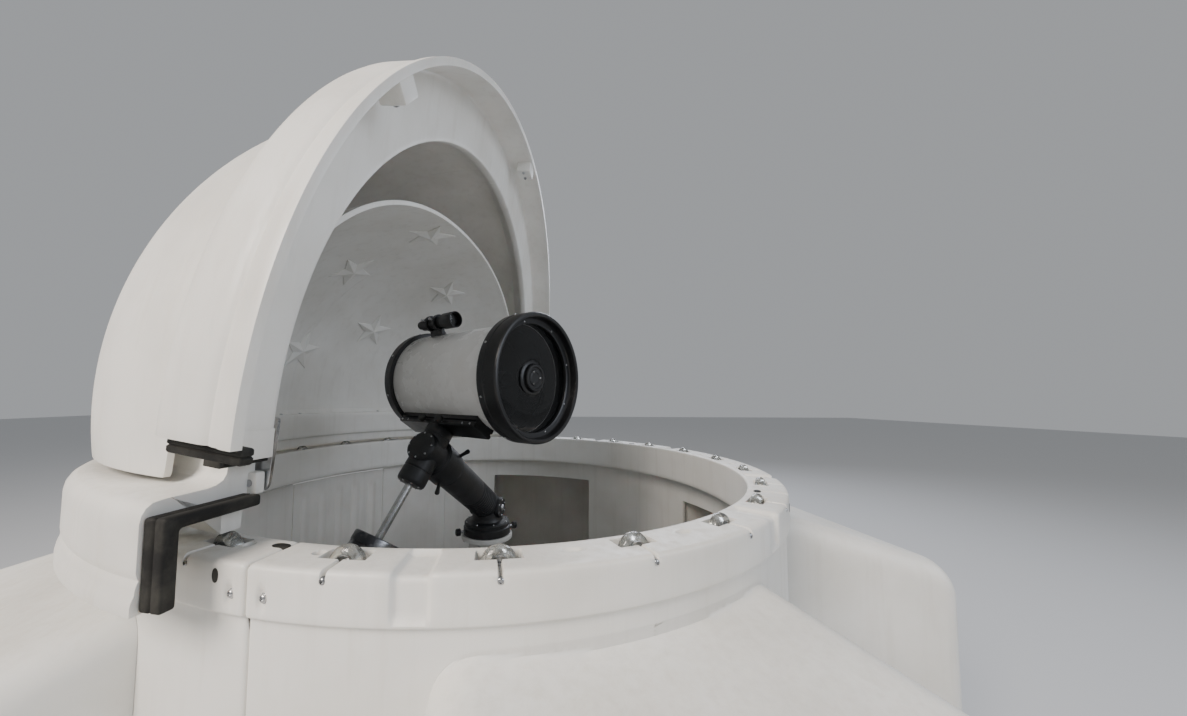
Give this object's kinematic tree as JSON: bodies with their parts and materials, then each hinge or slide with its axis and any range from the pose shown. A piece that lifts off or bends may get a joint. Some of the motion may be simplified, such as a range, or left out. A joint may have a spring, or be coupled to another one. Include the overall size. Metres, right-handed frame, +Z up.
{
  "type": "observatory dome",
  "caption": "Round observatory of moulded white plastic with bulging bays, a dome turning on a ring of wheels, a tilting visor, a hinged door and a telescope on its pier.",
  "frame": {"origin": "centre of the round wall on the ground, under the telescope pier", "axes": "+Z up, +X from the centre through the middle of the bay on the right, +Y towards the wall between the far bay and the door"},
  "size_m": [3.546, 3.718, 2.7965],
  "materials": {
    "moulded_plastic": "fine orange-peel skin of moulded polyethylene",
    "wheel_plastic": "clear polyurethane tread",
    "seal_rubber": "closed-cell foam rubber, matt",
    "steel": "brushed stainless steel",
    "black_paint": "satin black paint",
    "white_paint": "satin white paint"
  },
  "bodies": {
    "enclosure": {"right_wall": "moulded_plastic", "far_wall": "moulded_plastic", "left_wall": "moulded_plastic", "front_wall": "moulded_plastic", "door_head_ring": "moulded_plastic", "door_latch_wall": "moulded_plastic", "door_hinge_wall": "moulded_plastic", "right_bay": "moulded_plastic", "far_bay": "moulded_plastic", "left_bay": "moulded_plastic", "front_bay": "moulded_plastic", "pier": "white_paint", "mount_base": "black_paint"},
    "door": {"door_leaf": "moulded_plastic", "door_handle": "steel"},
    "dome": {"rear_shell_left": "moulded_plastic", "rear_shell_right": "moulded_plastic", "rear_seal_left": "seal_rubber", "rear_seal_right": "seal_rubber"},
    "visor": {"visor_panel_left": "moulded_plastic", "visor_panel_right": "moulded_plastic", "visor_band_left": "moulded_plastic", "visor_band_right": "moulded_plastic", "hinge_strap_left": "steel", "hinge_strap_right": "steel", "visor_seal_left": "seal_rubber", "visor_seal_right": "seal_rubber"},
    "polar_axis": {"mount_turret": "black_paint", "counterweight": "steel"},
    "declination_axis": {"tube_saddle": "black_paint", "telescope_tube": "white_paint", "front_cell": "black_paint", "rear_cell": "black_paint", "finder_scope": "black_paint"},
    "wheel_01": {"ring_wheel_01": "wheel_plastic"},
    "wheel_02": {"ring_wheel_02": "wheel_plastic"},
    "wheel_03": {"ring_wheel_03": "wheel_plastic"},
    "wheel_04": {"ring_wheel_04": "wheel_plastic"},
    "wheel_05": {"ring_wheel_05": "wheel_plastic"},
    "wheel_06": {"ring_wheel_06": "wheel_plastic"},
    "wheel_07": {"ring_wheel_07": "wheel_plastic"},
    "wheel_08": {"ring_wheel_08": "wheel_plastic"},
    "wheel_09": {"ring_wheel_09": "wheel_plastic"},
    "wheel_10": {"ring_wheel_10": "wheel_plastic"},
    "wheel_11": {"ring_wheel_11": "wheel_plastic"},
    "wheel_12": {"ring_wheel_12": "wheel_plastic"},
    "wheel_13": {"ring_wheel_13": "wheel_plastic"},
    "wheel_14": {"ring_wheel_14": "wheel_plastic"},
    "wheel_15": {"ring_wheel_15": "wheel_plastic"},
    "wheel_16": {"ring_wheel_16": "wheel_plastic"},
    "wheel_17": {"ring_wheel_17": "wheel_plastic"},
    "wheel_18": {"ring_wheel_18": "wheel_plastic"},
    "wheel_19": {"ring_wheel_19": "wheel_plastic"},
    "wheel_20": {"ring_wheel_20": "wheel_plastic"},
    "wheel_21": {"ring_wheel_21": "wheel_plastic"},
    "wheel_22": {"ring_wheel_22": "wheel_plastic"},
    "wheel_23": {"ring_wheel_23": "wheel_plastic"},
    "wheel_24": {"ring_wheel_24": "wheel_plastic"},
    "wheel_25": {"ring_wheel_25": "wheel_plastic"}
  },
  "joints": [
    {"name": "dome_turn", "type": "hinge", "parent": "enclosure", "child": "dome", "pos_m": [0, 0, 1.22], "axis": [0, 0, 1], "continuous": true},
    {"name": "visor_tilt", "type": "hinge", "parent": "dome", "child": "visor", "pos_m": [-0.16726, 0.04796, 1.331], "axis": [0.2756, 0.9613, 0], "range_deg": [0, 83]},
    {"name": "door_swing", "type": "hinge", "parent": "enclosure", "child": "door", "pos_m": [-1.13805, 0.45058, 0.5], "axis": [0, 0, 1], "range_deg": [0, 100]},
    {"name": "polar_turn", "type": "hinge", "parent": "enclosure", "child": "polar_axis", "pos_m": [-0.20048, -0.43616, 1.31968], "axis": [-0.3484, -0.7581, 0.5513], "range_deg": [-45, 45]},
    {"name": "declination_turn", "type": "hinge", "parent": "polar_axis", "child": "declination_axis", "pos_m": [-0.20048, -0.43616, 1.31968], "axis": [0.3984, 0.4126, 0.8192], "range_deg": [-90, 90]},
    {"name": "wheel_01_spin", "type": "hinge", "parent": "enclosure", "child": "wheel_01", "pos_m": [1.00337, -0.55161, 1.203], "axis": [0.8763, -0.4818, 0], "continuous": true},
    {"name": "wheel_02_spin", "type": "hinge", "parent": "enclosure", "child": "wheel_02", "pos_m": [1.10903, -0.28475, 1.203], "axis": [0.9686, -0.2487, 0], "continuous": true},
    {"name": "wheel_03_spin", "type": "hinge", "parent": "enclosure", "child": "wheel_03", "pos_m": [1.145, 0, 1.203], "axis": [1, 0, 0], "continuous": true},
    {"name": "wheel_04_spin", "type": "hinge", "parent": "enclosure", "child": "wheel_04", "pos_m": [1.10903, 0.28475, 1.203], "axis": [0.9686, 0.2487, 0], "continuous": true},
    {"name": "wheel_05_spin", "type": "hinge", "parent": "enclosure", "child": "wheel_05", "pos_m": [1.00337, 0.55161, 1.203], "axis": [0.8763, 0.4818, 0], "continuous": true},
    {"name": "wheel_06_spin", "type": "hinge", "parent": "enclosure", "child": "wheel_06", "pos_m": [0.83467, 0.78381, 1.203], "axis": [0.729, 0.6845, 0], "continuous": true},
    {"name": "wheel_07_spin", "type": "hinge", "parent": "enclosure", "child": "wheel_07", "pos_m": [0.61352, 0.96676, 1.203], "axis": [0.5358, 0.8443, 0], "continuous": true},
    {"name": "wheel_08_spin", "type": "hinge", "parent": "enclosure", "child": "wheel_08", "pos_m": [0.35382, 1.08896, 1.203], "axis": [0.309, 0.9511, 0], "continuous": true},
    {"name": "wheel_09_spin", "type": "hinge", "parent": "enclosure", "child": "wheel_09", "pos_m": [0.0719, 1.14274, 1.203], "axis": [0.0628, 0.998, 0], "continuous": true},
    {"name": "wheel_10_spin", "type": "hinge", "parent": "enclosure", "child": "wheel_10", "pos_m": [-0.21455, 1.12472, 1.203], "axis": [-0.1874, 0.9823, 0], "continuous": true},
    {"name": "wheel_11_spin", "type": "hinge", "parent": "enclosure", "child": "wheel_11", "pos_m": [-0.48752, 1.03603, 1.203], "axis": [-0.4258, 0.9048, 0], "continuous": true},
    {"name": "wheel_12_spin", "type": "hinge", "parent": "enclosure", "child": "wheel_12", "pos_m": [-0.72985, 0.88224, 1.203], "axis": [-0.6374, 0.7705, 0], "continuous": true},
    {"name": "wheel_13_spin", "type": "hinge", "parent": "enclosure", "child": "wheel_13", "pos_m": [-0.92632, 0.67301, 1.203], "axis": [-0.809, 0.5878, 0], "continuous": true},
    {"name": "wheel_14_spin", "type": "hinge", "parent": "enclosure", "child": "wheel_14", "pos_m": [-1.06459, 0.4215, 1.203], "axis": [-0.9298, 0.3681, 0], "continuous": true},
    {"name": "wheel_15_spin", "type": "hinge", "parent": "enclosure", "child": "wheel_15", "pos_m": [-1.13597, 0.14351, 1.203], "axis": [-0.9921, 0.1253, 0], "continuous": true},
    {"name": "wheel_16_spin", "type": "hinge", "parent": "enclosure", "child": "wheel_16", "pos_m": [-1.13597, -0.14351, 1.203], "axis": [-0.9921, -0.1253, 0], "continuous": true},
    {"name": "wheel_17_spin", "type": "hinge", "parent": "enclosure", "child": "wheel_17", "pos_m": [-1.06459, -0.4215, 1.203], "axis": [-0.9298, -0.3681, 0], "continuous": true},
    {"name": "wheel_18_spin", "type": "hinge", "parent": "enclosure", "child": "wheel_18", "pos_m": [-0.92632, -0.67301, 1.203], "axis": [-0.809, -0.5878, 0], "continuous": true},
    {"name": "wheel_19_spin", "type": "hinge", "parent": "enclosure", "child": "wheel_19", "pos_m": [-0.72985, -0.88224, 1.203], "axis": [-0.6374, -0.7705, 0], "continuous": true},
    {"name": "wheel_20_spin", "type": "hinge", "parent": "enclosure", "child": "wheel_20", "pos_m": [-0.48752, -1.03603, 1.203], "axis": [-0.4258, -0.9048, 0], "continuous": true},
    {"name": "wheel_21_spin", "type": "hinge", "parent": "enclosure", "child": "wheel_21", "pos_m": [-0.21455, -1.12472, 1.203], "axis": [-0.1874, -0.9823, 0], "continuous": true},
    {"name": "wheel_22_spin", "type": "hinge", "parent": "enclosure", "child": "wheel_22", "pos_m": [0.0719, -1.14274, 1.203], "axis": [0.0628, -0.998, 0], "continuous": true},
    {"name": "wheel_23_spin", "type": "hinge", "parent": "enclosure", "child": "wheel_23", "pos_m": [0.35382, -1.08896, 1.203], "axis": [0.309, -0.9511, 0], "continuous": true},
    {"name": "wheel_24_spin", "type": "hinge", "parent": "enclosure", "child": "wheel_24", "pos_m": [0.61352, -0.96676, 1.203], "axis": [0.5358, -0.8443, 0], "continuous": true},
    {"name": "wheel_25_spin", "type": "hinge", "parent": "enclosure", "child": "wheel_25", "pos_m": [0.83467, -0.78381, 1.203], "axis": [0.729, -0.6845, 0], "continuous": true}
  ],
  "couplings": [
    {"joint": "wheel_01_spin", "follows": "dome_turn", "ratio": -30.946},
    {"joint": "wheel_02_spin", "follows": "dome_turn", "ratio": -30.946},
    {"joint": "wheel_03_spin", "follows": "dome_turn", "ratio": -30.946},
    {"joint": "wheel_04_spin", "follows": "dome_turn", "ratio": -30.946},
    {"joint": "wheel_05_spin", "follows": "dome_turn", "ratio": -30.946},
    {"joint": "wheel_06_spin", "follows": "dome_turn", "ratio": -30.946},
    {"joint": "wheel_07_spin", "follows": "dome_turn", "ratio": -30.946},
    {"joint": "wheel_08_spin", "follows": "dome_turn", "ratio": -30.946},
    {"joint": "wheel_09_spin", "follows": "dome_turn", "ratio": -30.946},
    {"joint": "wheel_10_spin", "follows": "dome_turn", "ratio": -30.946},
    {"joint": "wheel_11_spin", "follows": "dome_turn", "ratio": -30.946},
    {"joint": "wheel_12_spin", "follows": "dome_turn", "ratio": -30.946},
    {"joint": "wheel_13_spin", "follows": "dome_turn", "ratio": -30.946},
    {"joint": "wheel_14_spin", "follows": "dome_turn", "ratio": -30.946},
    {"joint": "wheel_15_spin", "follows": "dome_turn", "ratio": -30.946},
    {"joint": "wheel_16_spin", "follows": "dome_turn", "ratio": -30.946},
    {"joint": "wheel_17_spin", "follows": "dome_turn", "ratio": -30.946},
    {"joint": "wheel_18_spin", "follows": "dome_turn", "ratio": -30.946},
    {"joint": "wheel_19_spin", "follows": "dome_turn", "ratio": -30.946},
    {"joint": "wheel_20_spin", "follows": "dome_turn", "ratio": -30.946},
    {"joint": "wheel_21_spin", "follows": "dome_turn", "ratio": -30.946},
    {"joint": "wheel_22_spin", "follows": "dome_turn", "ratio": -30.946},
    {"joint": "wheel_23_spin", "follows": "dome_turn", "ratio": -30.946},
    {"joint": "wheel_24_spin", "follows": "dome_turn", "ratio": -30.946},
    {"joint": "wheel_25_spin", "follows": "dome_turn", "ratio": -30.946}
  ]
}
